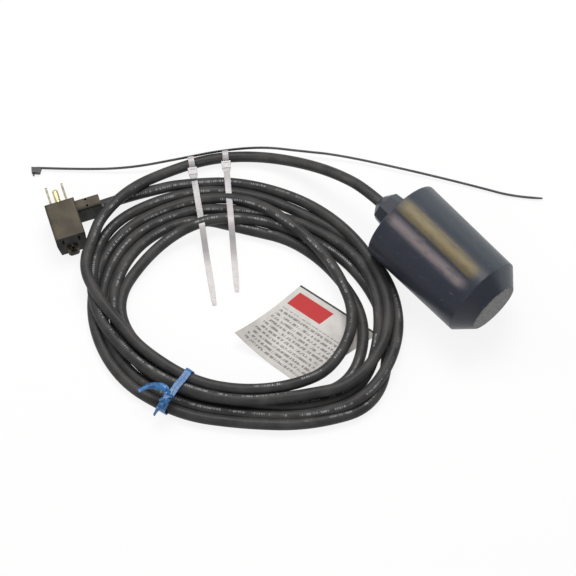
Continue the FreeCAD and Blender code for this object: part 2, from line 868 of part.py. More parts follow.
def coil_tie():
    """A soft ribbon tied round the bundle, with its knot on top near the outer edge."""
    near, far = coil_span(coil_tie_angle)
    gap = coil_tie_gap
    thick = coil_tie_thickness
    half = coil_tie_width / 2
    top = coil_lift + 2 * (cord_diameter + bench_gap) + bench_gap
    bottom = coil_lift - bench_gap
    inside = box(near - gap, far + gap, -half, half, bottom, top)
    outside = box(near - gap - thick, far + gap + thick, -half, half, bottom - thick, top + thick)
    band = outside.cut(inside)
    long, wide, tall = coil_tie_knot
    middle = far - coil_tie_knot_setback
    knot = box(middle - long / 2, middle + long / 2, -wide / 2, wide / 2, top, top + tall)
    ear_wide, ear_tall = coil_tie_ear
    ears = []
    for turn, ear_long in coil_tie_ears:
        ear = box(0, ear_long, -ear_wide / 2, ear_wide / 2, 0, ear_tall)
        ear.rotate(V(0, 0, 0), ALONG_Z, turn)
        ear.translate(V(middle, 0, top))
        ears.append(ear)
    tie = band.fuse([knot] + ears)
    tie.rotate(V(0, 0, 0), ALONG_Z, coil_tie_angle + coil_turn)
    tie.translate(coil_point(0, 0))
    return tie


def between(start, end, share):
    return V(start[0] + (end[0] - start[0]) * share, start[1] + (end[1] - start[1]) * share, tag_height)


def tag_section(near, far, height):
    """A thin upright slice across the sheet."""
    low = V(0, 0, height)
    high = V(0, 0, height + tag_thickness)
    return Part.makePolygon([near + low, far + low, far + high, near + high, near + low])


def cord_tag():
    """A thin four-sided tag under the turns; its free corner curls up."""
    top, left, bottom, right = tag_corners
    sections = []
    for share in tag_curl_steps:
        near = between(top, left, tag_curl_from + (1 - tag_curl_from) * share)
        far = between(left, bottom, tag_curl_across * (1 - share))
        sections.append(tag_section(near, far, tag_lift * share ** 2))
    curl = Part.makeLoft(sections, True, True)
    corners = [between(top, top, 0), between(top, left, tag_curl_from), between(left, bottom, tag_curl_across),
               between(bottom, bottom, 0), between(right, right, 0)]
    flat = Part.Face(Part.makePolygon(corners + corners[:1])).extrude(V(0, 0, tag_thickness))
    return flat.fuse(curl)


# The whole object

def build_float():
    save("float_shell", at_axis(float_shell()))
    save("float_cap", at_axis(float_cap()))
    save("cord_seal", at_axis(cord_seal()))
    save("resin_plug", at_axis(resin_plug()))


def build_mechanism():
    save("switch_carrier", at_axis(switch_carrier()))
    save("track_cap", at_axis(track_cap()))
    save("steel_ball", at_axis(steel_ball()))
    save("ball_lever", at_axis(ball_lever()))
    save("lever_pin", at_axis(lever_pin()))
    save("switch_case", at_axis(switch_case()))
    save("switch_cover", at_axis(switch_cover()))
    save("switch_plunger", at_axis(switch_plunger()))
    save("contact_spring", at_axis(contact_spring()))
    save("switch_terminals", at_axis(switch_terminals()))
    save("switch_screws", at_axis(switch_screws()))
    save("wire_black", at_axis(wire("wire_black", -1)))
    save("wire_white", at_axis(wire("wire_white", 1)))
    print("ball rests at x %.2f" % ball_rest_x(), "and travels %.3f" % ball_travel())
    print("plunger travel %.3f" % (plunger_drop * math.sin(math.radians(lever_swing))))


def build_cord():
    save("cord_lead", tube("cord_lead", lead_route, cord_radius))
    save("cord_tail", tube("cord_tail", tail_route, cord_radius))
    save("cord_coil", cord_coil())


def build_plug():
    metal = {
        "line_blade_left": line_blade(-1),
        "line_blade_right": line_blade(1),
        "ground_pin": ground_pin(),
        "outlet_contact_left": outlet_contact(-1),
        "outlet_contact_right": outlet_contact(1),
        "outlet_ground": outlet_ground(),
    }
    save("plug_body", at_plug(plug_body(list(metal.values()))))
    for node, shape in metal.items():
        save(node, at_plug(shape))


def build_ties():
    for node, centre, turn, reach, over_coil in white_ties:
        save(node, white_tie(centre, turn, reach, over_coil))
    save("black_tie", black_tie())
    save("coil_tie", coil_tie())
    save("cord_tag", cord_tag())


build_float()
build_mechanism()
build_cord()
build_plug()
build_ties()
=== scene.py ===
import bmesh
import bpy
import json
import math
from mathutils import Matrix, Vector


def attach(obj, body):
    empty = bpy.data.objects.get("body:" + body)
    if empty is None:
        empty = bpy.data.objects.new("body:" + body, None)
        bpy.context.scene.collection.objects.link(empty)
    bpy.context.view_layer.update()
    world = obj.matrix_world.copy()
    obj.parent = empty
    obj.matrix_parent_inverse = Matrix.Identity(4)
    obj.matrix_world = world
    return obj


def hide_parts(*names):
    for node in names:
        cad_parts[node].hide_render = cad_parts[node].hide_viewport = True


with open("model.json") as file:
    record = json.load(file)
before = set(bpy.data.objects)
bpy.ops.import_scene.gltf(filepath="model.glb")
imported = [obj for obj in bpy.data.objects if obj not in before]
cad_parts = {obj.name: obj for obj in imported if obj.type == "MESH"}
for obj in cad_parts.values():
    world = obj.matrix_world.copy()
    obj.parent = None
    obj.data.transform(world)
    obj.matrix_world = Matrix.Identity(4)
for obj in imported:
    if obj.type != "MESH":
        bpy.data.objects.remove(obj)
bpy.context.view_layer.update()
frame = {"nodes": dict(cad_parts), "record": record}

body = "float_and_cord"
mm = 0.001


# shader values

class Value:
    def __init__(self, tree, socket=None):
        self.tree = tree
        self.socket = socket

    def make(self, kind, settings=None, inputs=None, output=0):
        node = self.tree.nodes.new(kind)
        for name, value in (settings or {}).items():
            setattr(node, name, value)
        for name, value in (inputs or {}).items():
            if isinstance(value, Value):
                self.tree.links.new(value.socket, node.inputs[name])
            else:
                node.inputs[name].default_value = value
        return Value(self.tree, node.outputs[output])

    def maths(self, operation, *values):
        return self.make("ShaderNodeMath", {"operation": operation}, dict(enumerate(values)))

    def __add__(self, other):
        return self.maths("ADD", self, other)

    def __sub__(self, other):
        return self.maths("SUBTRACT", self, other)

    def __rsub__(self, other):
        return self.maths("SUBTRACT", other, self)

    def __mul__(self, other):
        return self.maths("MULTIPLY", self, other)

    __radd__ = __add__
    __rmul__ = __mul__

    def spread(self, low, high, toLow=0.0, toHigh=1.0):  # smooth step between two values
        return self.make("ShaderNodeMapRange", {"interpolation_type": "SMOOTHSTEP"},
                         {0: self, 1: low, 2: high, 3: toLow, 4: toHigh})

    def blend(self, low, high):  # colour between two colours
        return self.make("ShaderNodeMix", {"data_type": "RGBA"}, {0: self, 6: low, 7: high}, 2)


def newMaterial(name, **fixed):
    material = bpy.data.materials.new(name)
    material.use_nodes = True
    shader = material.node_tree.nodes["Principled BSDF"]
    for socket, value in fixed.items():
        shader.inputs[socketNames[socket]].default_value = value
    return material, Value(material.node_tree)


socketNames = {
    "colour": "Base Color",
    "rough": "Roughness",
    "metal": "Metallic",
    "coat": "Coat Weight",
    "coatRough": "Coat Roughness",
    "ior": "IOR",
    "specular": "Specular IOR Level",
    "scatter": "Subsurface Weight",
    "scatterScale": "Subsurface Scale",
}


def feed(material, **linked):
    tree = material.node_tree
    shader = tree.nodes["Principled BSDF"]
    for socket, value in linked.items():
        if socket == "bump":
            height, strength, distance = value
            bump = tree.nodes.new("ShaderNodeBump")
            bump.inputs["Strength"].default_value = strength
            bump.inputs["Distance"].default_value = distance
            tree.links.new(height.socket, bump.inputs["Height"])
            tree.links.new(bump.outputs["Normal"], shader.inputs["Normal"])
        else:
            tree.links.new(value.socket, shader.inputs[socketNames[socket]])


# object coordinates, set out for a pattern
def place(value, scale=(1, 1, 1), turn=(0, 0, 0), shift=(0, 0, 0)):
    coords = value.make("ShaderNodeTexCoord", output=3)
    return value.make("ShaderNodeMapping", inputs={"Vector": coords, "Location": shift,
                                                   "Rotation": turn, "Scale": scale})


def noise(value, where, scale, detail=3.0):
    return value.make("ShaderNodeTexNoise", inputs={"Vector": where, "Scale": scale, "Detail": detail})


def grey(level):
    return (level, level, level, 1)


# finishes

floatLook = {
    "axis": 0.0348,
    "tip": (0.0606, 0.0611),
    "paintedReflectionSpan": (-0.036, 0.040),
    "paintedReflections": (  # painted reflections: from and to in radians round the float, softness, strength, colour
        (-0.56, -0.36, 0.09, 1.0, (0.200, 0.170, 0.180, 1)),
        (-0.24, 0.12, 0.05, 1.0, (0.105, 0.080, 0.034, 1)),
        (-0.13, 0.03, 0.05, 0.6, (0.190, 0.140, 0.050, 1)),
    ),
    "gap": (-0.30, -0.25, 0.03, 0.7, (0.030, 0.030, 0.034, 1)),  # painted reflection: the dark line between the lighter painted reflections
}


def glossyHousing():
    material, value = newMaterial("glossyHousing", rough=0.3, coat=0.05, coatRough=0.2, ior=1.45,
                                  specular=0.22)
    here = place(value)
    cloud = noise(value, here, 28, 3)
    smear = noise(value, place(value, (6, 60, 60)), 6, 4)
    along = value.make("ShaderNodeSeparateXYZ", inputs={0: here})
    side = value.make("ShaderNodeSeparateXYZ", inputs={0: here}, output=1)
    up = value.make("ShaderNodeSeparateXYZ", inputs={0: here}, output=2)
    turn = value.maths("ARCTAN2", side, up - floatLook["axis"]) + smear * 0.06
    tip = along.spread(*floatLook["tip"])
    dust = noise(value, here, 900, 2).spread(0.62, 0.8)
    base = cloud.spread(0.3, 0.75).blend((0.030, 0.034, 0.048, 1), (0.042, 0.046, 0.060, 1))
    # painted light: the float is painted lighter from 0.1 rad round towards its +y side
    base = turn.spread(0.1, 0.5).blend(base, (0.070, 0.082, 0.096, 1))
    # painted reflections: the streaks are laid only between these ends along the float
    ends = window(along, *floatLook["paintedReflectionSpan"], 0.006)
    patchyReflections = noise(value, place(value, (24, 60, 60)), 5, 3).spread(0.25, 0.55, 0.6, 1.0)
    # each painted reflection is blended into the colour as a patchy streak with soft edges
    for low, high, soft, strength, colour in floatLook["paintedReflections"]:
        base = (window(turn, low, high, soft) * ends * patchyReflections * strength).blend(base, colour)
    # painted reflection: a dark line between the painted reflections
    low, high, soft, strength, colour = floatLook["gap"]
    base = (window(turn, low, high, soft) * ends * strength).blend(base, colour)
    base = (dust * 0.06).blend(base, (0.30, 0.30, 0.30, 1))
    rub = noise(value, place(value, (40, 500, 500), (0, 0.7, 0.2)), 3, 2).spread(0.70, 0.72)
    base = (rub * 0.25).blend(base, (0.30, 0.32, 0.36, 1))
    grain = noise(value, place(value, (1, 160, 900), (0.6, 0, 0)), 3, 3).spread(0.42, 0.62)
    worn = grain.blend((0.06, 0.062, 0.066, 1), (0.22, 0.22, 0.215, 1))
    base = tip.blend(base, worn)
    feed(material, colour=base, rough=smear.spread(0.3, 0.8, 0.30, 0.42) + tip * 0.2,
         bump=(noise(value, here, 240, 3) * 0.4 + grain * tip * 2.0, 0.06, 0.0006))
    return material


def cordRubber():
    material, value = newMaterial("cordRubber", rough=0.5, ior=1.5, specular=0.16)
    uv = value.make("ShaderNodeUVMap", {"uv_map": "alongCord"})
    along = value.make("ShaderNodeSeparateXYZ", inputs={0: uv})
    around = value.make("ShaderNodeSeparateXYZ", inputs={0: uv}, output=1)
    here = place(value)
    lay = value.maths("SINE", along * 210.0 + around * 6.2832 * 3.0)  # the twisted cores show faintly
    dashes = dashedLine(value, along, around)
    cloud = noise(value, here, 60, 4).spread(0.3, 0.75)
    dust = noise(value, here, 1500, 2).spread(0.55, 0.8)
    base = cloud.blend((0.034, 0.0330, 0.0338, 1), (0.062, 0.060, 0.059, 1))
    base = (dust * 0.18).blend(base, grey(0.16))
    base = (dashes * 0.75).blend(base, (0.46, 0.46, 0.47, 1))
    feed(material, colour=base, rough=cloud * 0.12 + 0.40,
         bump=(lay * 0.35 + noise(value, here, 1400, 3) * 0.35, 0.22, 0.0005))
    return material


def dashedLine(value, along, around):  # broken light dashes on one side of the cord
    oneD = {"noise_dimensions": "1D"}
    cell = along * 560.0
    width = value.make("ShaderNodeTexWhiteNoise", oneD, {"W": value.maths("FLOOR", cell) + 7.0})
    stroke = value.maths("FRACT", cell) - width * 0.5
    shade = value.make("ShaderNodeTexWhiteNoise", oneD, {"W": value.maths("FLOOR", cell)})
    group = value.make("ShaderNodeTexNoise", oneD, {"W": along * 62.0, "Scale": 1.0, "Detail": 1.0})
    stretch = value.make("ShaderNodeTexNoise", oneD, {"W": along * 3.4 + 2.0, "Scale": 1.0})
    drift = value.make("ShaderNodeTexNoise", oneD, {"W": along * 1.9, "Scale": 1.0})
    off = value.maths("ABSOLUTE", around - (drift * 0.50 + 0.03))
    band = off.spread(0.026, 0.036, 1.0, 0.0)
    bits = shade.spread(0.2, 0.5, 0.3, 1.0) * stroke.spread(0.42, 0.52, 1.0, 0.0)
    worn = noise(value, place(value), 2600, 2).spread(0.35, 0.6)
    return band * bits * group.spread(0.42, 0.48) * stretch.spread(0.44, 0.52, 0.06, 1.0) * worn


def plugVinyl():
    material, value = newMaterial("plugVinyl", rough=0.42, ior=1.5, specular=0.12)
    here = place(value)
    cloud = noise(value, here, 70, 4).spread(0.3, 0.7)
    smear = noise(value, place(value, (1, 1, 0.25), (0, 0, 0.4)), 160, 3).spread(0.35, 0.7)
    facing = value.make("ShaderNodeNewGeometry", output=1)
    # painted light: faces that point up are painted lighter than the sides, by the way they face
    top = value.make("ShaderNodeSeparateXYZ", inputs={0: facing}, output=2).spread(0.3, 0.9)
    # painted light and shade: a darker, shaded copy of the vinyl for the sides, a lighter, lit copy for the
    # top
    sides = cloud.blend((0.011, 0.0105, 0.010, 1), (0.021, 0.019, 0.016, 1))
    mottledLitTop = cloud.blend((0.056, 0.047, 0.034, 1), (0.105, 0.085, 0.058, 1))
    base = top.blend(sides, mottledLitTop)
    # lighter grey smears, laid on the upward faces only, carry part of that painted light
    base = (smear * top * 0.35).blend(base, (0.072, 0.070, 0.064, 1))
    feed(material, colour=base, rough=smear * 0.14 + 0.42,
         bump=(noise(value, here, 1100, 3), 0.16, 0.0004))
    return material


def metalFinish(name, colour, rough, streak):
    material, value = newMaterial(name, metal=1.0, rough=rough)
    here = place(value, (1, 1, streak))
    cloud = noise(value, here, 300, 3).spread(0.3, 0.75)
    darker = tuple(c * 0.72 for c in colour[:3]) + (1,)
    feed(material, colour=cloud.blend(colour, darker), rough=cloud * 0.12 + rough,
         bump=(noise(value, here, 1800, 2), 0.08, 0.0002))
    return material


def mouldedFinish(name, colour, rough, grain=900.0, vary=0.85):
    material, value = newMaterial(name, rough=rough)
    here = place(value)
    cloud = noise(value, here, 90, 3).spread(0.3, 0.75)
    darker = tuple(c * vary for c in colour[:3]) + (1,)
    feed(material, colour=cloud.blend(colour, darker), rough=cloud * 0.1 + rough,
         bump=(noise(value, here, grain, 3), 0.12, 0.0003))
    return material


def whiteNylon():
    material, value = newMaterial("whiteNylon", rough=0.36, scatter=0.35, scatterScale=0.002, ior=1.53)
    cloud = noise(value, place(value), 120, 3).spread(0.3, 0.75)
    feed(material, colour=cloud.blend((0.50, 0.48, 0.485, 1), (0.42, 0.40, 0.41, 1)),
         bump=(noise(value, place(value), 700, 2), 0.1, 0.0003))
    return material


def blueRibbon():
    material, value = newMaterial("blueRibbon", rough=0.38)
    here = place(value)
    cloud = noise(value, here, 260, 4).spread(0.3, 0.7)
    wrinkle = noise(value, here, 520, 4)
    base = cloud.blend((0.012, 0.075, 0.23, 1), (0.045, 0.19, 0.44, 1))
    # painted highlight: the raised crests of the wrinkles are painted a lighter blue
    base = wrinkle.spread(0.60, 0.7).blend(base, (0.26, 0.44, 0.68, 1))
    feed(material, colour=base, rough=cloud * 0.2 + 0.25, bump=(wrinkle, 0.5, 0.0006))
    return material


tagLook = {
    "red": ((0.06, 0.505), (0.084, 0.283)),
    "bars": ((0.06, 0.92), (0.34, 0.95)),
    "rows": 17,
    "edge": (-1.0, 0.022),
}


def printedTag():
    material, value = newMaterial("printedTag", rough=0.5, specular=0.2)
    uv = value.make("ShaderNodeUVMap", {"uv_map": "onTag"})
    across = value.make("ShaderNodeSeparateXYZ", inputs={0: uv})
    down = value.make("ShaderNodeSeparateXYZ", inputs={0: uv}, output=1)
    red = field(across, down, tagLook["red"])
    lines = value.maths("FRACT", down * tagLook["rows"]).spread(0.42, 0.55)
    bars = lines * field(across, down, tagLook["bars"])
    bits = value.make("ShaderNodeMapping", inputs={"Vector": uv, "Scale": (46, tagLook["rows"], 1)})
    broken = value.make("ShaderNodeTexNoise", {"noise_dimensions": "2D"},
                        {"Vector": bits, "Scale": 1.0, "Detail": 1.0})
    edge = window(down, *tagLook["edge"])
    here = place(value)
    cloud = noise(value, here, 90, 3).spread(0.3, 0.75)
    base = cloud.blend((0.60, 0.575, 0.555, 1), (0.50, 0.48, 0.46, 1))
    base = (bars * broken.spread(0.44, 0.5) * 0.72).blend(base, (0.10, 0.095, 0.095, 1))
    base = red.blend(base, (0.46, 0.020, 0.022, 1))
    base = edge.blend(base, (0.03, 0.03, 0.03, 1))
    feed(material, colour=base, bump=(noise(value, here, 500, 2), 0.08, 0.0003))
    return material


def window(value, low, high, soft=0.004):
    return value.spread(low - soft, low + soft) * value.spread(high - soft, high + soft, 1.0, 0.0)


def field(across, down, spans):  # a rectangle on the tag
    return window(across, *spans[0]) * window(down, *spans[1])


finishes = {
    "housing": glossyHousing(),
    "seal_rubber": mouldedFinish("sealRubber", (0.025, 0.025, 0.026, 1), 0.6),
    "resin": mouldedFinish("pottingResin", (0.03, 0.022, 0.016, 1), 0.15, 200),
    "carrier": mouldedFinish("carrierAcetal", (0.72, 0.71, 0.66, 1), 0.42),
    "steel": metalFinish("ballSteel", (0.62, 0.62, 0.64, 1), 0.12, 1),
    "plated_steel": metalFinish("platedSteel", (0.56, 0.56, 0.57, 1), 0.28, 0.2),
    "switch_black": mouldedFinish("switchBlack", (0.03, 0.03, 0.032, 1), 0.45),
    "switch_red": mouldedFinish("plungerRed", (0.45, 0.03, 0.02, 1), 0.4),
    "contact_brass": metalFinish("contactBrass", (0.66, 0.44, 0.18, 1), 0.25, 0.3),
    "wire_black": mouldedFinish("wireBlack", (0.025, 0.025, 0.025, 1), 0.4),
    "wire_white": mouldedFinish("wireWhite", (0.75, 0.75, 0.72, 1), 0.4),
    "cord_rubber": cordRubber(),
    "plug_vinyl": plugVinyl(),
    "blade_nickel": metalFinish("bladeNickel", (0.27, 0.245, 0.19, 1), 0.48, 0.3),
    "pin_brass": metalFinish("pinBrass", (0.72, 0.64, 0.36, 1), 0.33, 0.3),
    "tie_white": whiteNylon(),
    "tie_black": mouldedFinish("blackNylon", (0.028, 0.028, 0.030, 1), 0.38),
    "tie_blue": blueRibbon(),
    "tag_vinyl": printedTag(),
}
for entry in frame["record"]["subparts"]:
    node = frame["nodes"][entry["node"]]
    for spot in node.material_slots:
        spot.material = finishes[entry["material_slot"]]
print("finishes:", len(finishes))


# small makers

def addPiece(name, mesh, slotName, replaced=(), sharp=35):
    mesh.materials.clear()
    mesh.materials.append(finishes[slotName])
    for polygon in mesh.polygons:
        polygon.use_smooth = True
    mesh.set_sharp_from_angle(angle=math.radians(sharp))
    piece = bpy.data.objects.new(name, mesh)
    bpy.context.scene.collection.objects.link(piece)
    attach(piece, body)
    if replaced:
        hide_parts(*replaced)
    return piece


def finishMesh(name, bm):
    bmesh.ops.remove_doubles(bm, verts=bm.verts, dist=1e-7)
    bmesh.ops.recalc_face_normals(bm, faces=bm.faces)
    mesh = bpy.data.meshes.new(name)
    bm.to_mesh(mesh)
    bm.free()
    return mesh


def smoothLine(points, closed=False, steps=12):  # points along the smooth curve of some control points
    curve = bpy.data.curves.new("guide", "CURVE")
    curve.dimensions = "3D"
    spline = addSpline(curve, points, closed)
    spline.resolution_u = steps
    holder = bpy.data.objects.new("guide", curve)
    bpy.context.scene.collection.objects.link(holder)
    mesh = bpy.data.meshes.new_from_object(holder)
    line = [v.co.copy() for v in mesh.vertices]
    bpy.data.objects.remove(holder)
    return line


def addSpline(curve, points, closed=False):
    spline = curve.splines.new("NURBS")
    spline.points.add(len(points) - 1)
    for point, co in zip(spline.points, points):
        point.co = (*co, 1)
    spline.use_cyclic_u = closed
    spline.order_u = 3
    spline.use_endpoint_u = not closed
    return spline


def scaled(points):
    return [Vector(p) * mm for p in points]


# camera, as the photograph was taken
camera = {
    "place": (353.1, -473.1, 1195.1),
    "ahead": (-0.31776, 0.28812, -0.90334),
    "right": (0.6717, 0.7408, 0.0),
    "lens": 106.25,
}


def makeCamera():
    data = bpy.data.cameras.new("camera")
    data.lens = camera["lens"]
    data.sensor_width = 36
    data.clip_end = 20
    ahead = Vector(camera["ahead"]).normalized()
    right = Vector(camera["right"]).normalized()
    up = right.cross(ahead)
    seat = Matrix((right, up, -ahead)).transposed().to_4x4()
    seat.translation = Vector(camera["place"]) * mm
    holder = bpy.data.objects.new("camera", data)
    holder.matrix_world = seat
    bpy.context.scene.collection.objects.link(holder)
    bpy.context.scene.camera = holder


makeCamera()
print("camera set")


# cord: a lead from the float, six loose turns, and a tail to the plug
cord = {
    "diameter": 8.7,
    "steps": 14,
    "sides": 20,
    "exit": (-61.35, 0.0, 34.8),
    "lead": [
        (-31.55, 0.0, 34.8),
        (-74.0, 0.0, 34.8),
        (-107.0, -5.0, 26.0),
        (-140.0, -15.0, 12.5),
        (-170.0, -34.0, 5.4),
        (-193.0, -62.0, 5.0),
        (-206.5, -95.5, 5.4),
        (-211.0, -131.0, 14.5),
        (-205.5, -164.0, 17.2),
    ],
    "landing": [(156, 129.3, 17.2), (168, 125.5, 18.6), (180, 110.5, 18.2), (195, 94, 15.5)],
    "tail": [
        (-191.5, -96.0, 5.1),
        (-201.5, -115.5, 5.1),
        (-211.2, -136.5, 6.0),
        (-217.1, -157.8, 10.0),
    ],
    "centre": (-77.2, -128.1),
    "turn": 47.8,
    "floor": 4.4,
    "layer": 8.75,
    "angles": (150, 180, 210, 240, 270, 298, 322, 350, 380, 415, 450, 480),
    "reach": (
        (0, 0, 85, 75.5, 73.2, 77.8, 84, 84.2, 74.3, 73.3, 89, 102),
        (116.5, 117.5, 111.3, 100.5, 96.3, 109, 125.7, 109.5, 90, 74.5, 72.5, 77),
        (85.2, 96.5, 85, 74, 71.5, 85.5, 100.5, 92.5, 75, 66, 65.5, 85),
        (98, 101.5, 94.2, 83.6, 80, 93.8, 110.5, 104.5, 96.5, 83.5, 82, 93.5),
        (107.5, 110.5, 103.4, 92.4, 89, 102.3, 120, 119.5, 107, 91.5, 97.5, 110.5),
        (126, 115.5, 96, 84, 82, 88, 106.5, 112, 103.5, 99.5, 106, 0),
    ),
    "height": (
        (0, 0, 1.05, 1, 1, 0.9, 0.5, 0.8, 1.05, 1.1, 0.6, 0),
        (0, 0, 0, 0, 0, 0, 0, 0, 0, 0.1, 0.6, 0.9),
        (0.2, 0, 0, 0, 0, 0, 0, 0, 0, 0, 0, 0),
        (0, 0.3, 0, 0, 0, 0, 0, 0.8, 0.8, 0, 0, 0),
        (0, 0, 0, 0, 0, 0, 0.7, 0.75, 0.4, 0, 0, 0),
        (0.2, 0.8, 1, 1, 1, 1, 1.1, 1.15, 1.0, 0.5, 0, 0),
    ),
}


def coilPoint(angle, reach, height):
    around = math.radians(angle + cord["turn"])
    x, y = cord["centre"]
    return Vector((x + reach * math.cos(around), y + reach * math.sin(around), height))


def coilTurns():  # the points that the turns pass through, from the broad landing on top of them
    points = [coilPoint(*spot) for spot in cord["landing"]]
    for reaches, heights in zip(cord["reach"], cord["height"]):
        for angle, reach, height in zip(cord["angles"], reaches, heights):
            if reach:
                points.append(coilPoint(angle, reach, cord["floor"] + cord["layer"] * height))
    return points


def cordRoute():
    lead = [Vector(p) for p in cord["lead"]]
    tail = [Vector(p) for p in cord["tail"]]
    turns = coilTurns()
    around = [lead[-1]] + turns + [tail[0]]
    held = [here - (before - 2 * here + after) / 8
            for before, here, after in zip(around, around[1:], around[2:])]
    for point in held:
        point.z = max(point.z, cord["floor"])
    return lead + held + tail


def makeCord():
    route = scaled(cordRoute())
    line = smoothLine(route, steps=cord["steps"])
    mesh = tubeAlong("cordMesh", line, cord["diameter"] / 2 * mm, cord["sides"])
    piece = addPiece("cord", mesh, "cord_rubber", ("cord_lead", "cord_coil", "cord_tail"), 60)
    length = sum((b - a).length for a, b in zip(line, line[1:]))
    print("cord length", round(length, 3), "points", len(line))
    return piece, line, length


def tubeAlong(name, line, radius, sides):  # a ring of points carried along a line, with its length as a UV
    bm = bmesh.new()
    layer = bm.loops.layers.uv.new("alongCord")
    tangents = [(b - a).normalized() for a, b in zip(line, line[1:])]
    between = [(a + b).normalized() for a, b in zip(tangents, tangents[1:])]
    tangents = [tangents[0]] + between + [tangents[-1]]
    rings = []
    lengths = [0.0]
    for a, b in zip(line, line[1:]):
        lengths.append(lengths[-1] + (b - a).length)
    for centre, tangent in zip(line, tangents):
        side = tangent.cross(Vector((0, 0, 1))).normalized()
        top = side.cross(tangent).normalized()
        ring = []
        for step in range(sides):
            angle = 2 * math.pi * step / sides
            ring.append(bm.verts.new(centre + (side * math.cos(angle) + top * math.sin(angle)) * radius))
        rings.append(ring)
    for index, (ring, following) in enumerate(zip(rings, rings[1:])):
        for step in range(sides):
            after = (step + 1) % sides
            face = bm.faces.new((ring[step], ring[after], following[after], following[step]))
            values = ((index, step), (index, step + 1), (index + 1, step + 1), (index + 1, step))
            for loop, (at, turn) in zip(face.loops, values):
                loop[layer].uv = (lengths[at], turn / sides)
    bm.faces.new(rings[0])
    bm.faces.new(rings[-1])
    bmesh.ops.recalc_face_normals(bm, faces=bm.faces)
    mesh = bpy.data.meshes.new(name)
    bm.to_mesh(mesh)
    bm.free()
    return mesh


cordPiece, cordLine, cordLength = makeCord()


# a flat grid laid along a line, then given its thickness
def stripAlong(bm, line, side, wide, thick, taper=None):
    count = len(line)
    travelled = [0.0]
    for a, b in zip(line, line[1:]):
        travelled.append(travelled[-1] + (b - a).length)
    uv = bm.loops.layers.uv.verify()
    grid = bmesh.ops.create_grid(bm, x_segments=count - 1, y_segments=2, size=0.5)
    seat = {vert: (round((vert.co.x + 0.5) * (count - 1)), vert.co.y * 2) for vert in grid["verts"]}
    for vert, (index, across) in seat.items():
        ahead = (line[min(index + 1, count - 1)] - line[max(index - 1, 0)]).normalized()
        edge = (side - ahead * side.dot(ahead)).normalized()
        share = taper(index / (count - 1)) if taper else 1.0
        vert.co = line[index] + edge * (across * wide * share / 2) + edge.cross(ahead) * (thick / 2)
    faces = {face for vert in grid["verts"] for face in vert.link_faces}
    for face in faces:
        for loop in face.loops:
            index, across = seat[loop.vert]
            loop[uv].uv = (travelled[index], across)
    bmesh.ops.recalc_face_normals(bm, faces=list(faces))
    bmesh.ops.solidify(bm, geom=list(faces), thickness=thick)


def block(bm, size, centre):  # a box in the piece's own axes
    made = bmesh.ops.create_cube(bm, size=1.0)["verts"]
    bmesh.ops.scale(bm, vec=size, verts=made)
    bmesh.ops.translate(bm, vec=centre, verts=made)
    return made


def softEdges(piece, width, segments=2):
    bevel = piece.modifiers.new("edges", "BEVEL")
    bevel.width = width
    bevel.segments = segments
    bevel.limit_method = "ANGLE"
    bevel.angle_limit = math.radians(38)


def setDown(bm, turn, centre):  # from the piece's own axes to its place
    bmesh.ops.rotate(bm, cent=(0, 0, 0), matrix=Matrix.Rotation(math.radians(turn), 3, "Z"), verts=bm.verts)
    bmesh.ops.scale(bm, vec=(mm, mm, mm), verts=bm.verts)
    bmesh.ops.translate(bm, vec=centre, verts=bm.verts)


# white ties: a loop round the cord, a square head, and a long smooth tail over the coil
whiteTies = {
    "wide": 4.8,
    "thick": 1.1,
    "loop": 5.95,
    "loopShift": (-0.93, 0.5),
    "opening": 14,
    "lowest": 0.8,
    "head": (6.2, 7.6, 4.6),
    "headLap": 0.6,
    "headTaper": (0.86, 0.8),
    "collar": (3.4, 0.86, 0.62),
    "collarShift": 1.2,
    "collarTaper": (0.74, 0.55),
    "bar": (0.9, 0.82, 0.5),
    "barShift": 1.5,
    "tip": (5.5, 0.62),
    "places": {
        "white_tie_left": {
            "over": (-199.5, -77.2),
            "turn": -32.7,
            "tail": ((12.8, 5.4), (19, 9.6), (27, 10.6), (42, 11.2), (53, 14.4), (61, 15.6), (68, 12.5),
                     (78, 3.8), (88, 1.0), (104, 0.8), (124.5, 0.8)),
        },
        "white_tie_right": {
            "over": (-184.0, -53.0),
            "turn": -37.0,
            "tail": ((12.8, 5.4), (19, 9.6), (27, 10.6), (42, 11.2), (54, 14.4), (63, 15.6), (70, 12.5),
                     (79, 3.8), (88, 1.0), (102, 0.8), (117.8, 0.8)),
        },
    },
}


def nearestOnCord(over):
    return min(cordLine, key=lambda point: math.hypot(point.x - over[0] * mm, point.y - over[1] * mm))


def narrowEnd(verts, beyond, middle, taper):
    for vert in verts:
        if vert.co.x > beyond:
            vert.co.y *= taper[0]
            vert.co.z = middle + (vert.co.z - middle) * taper[1]


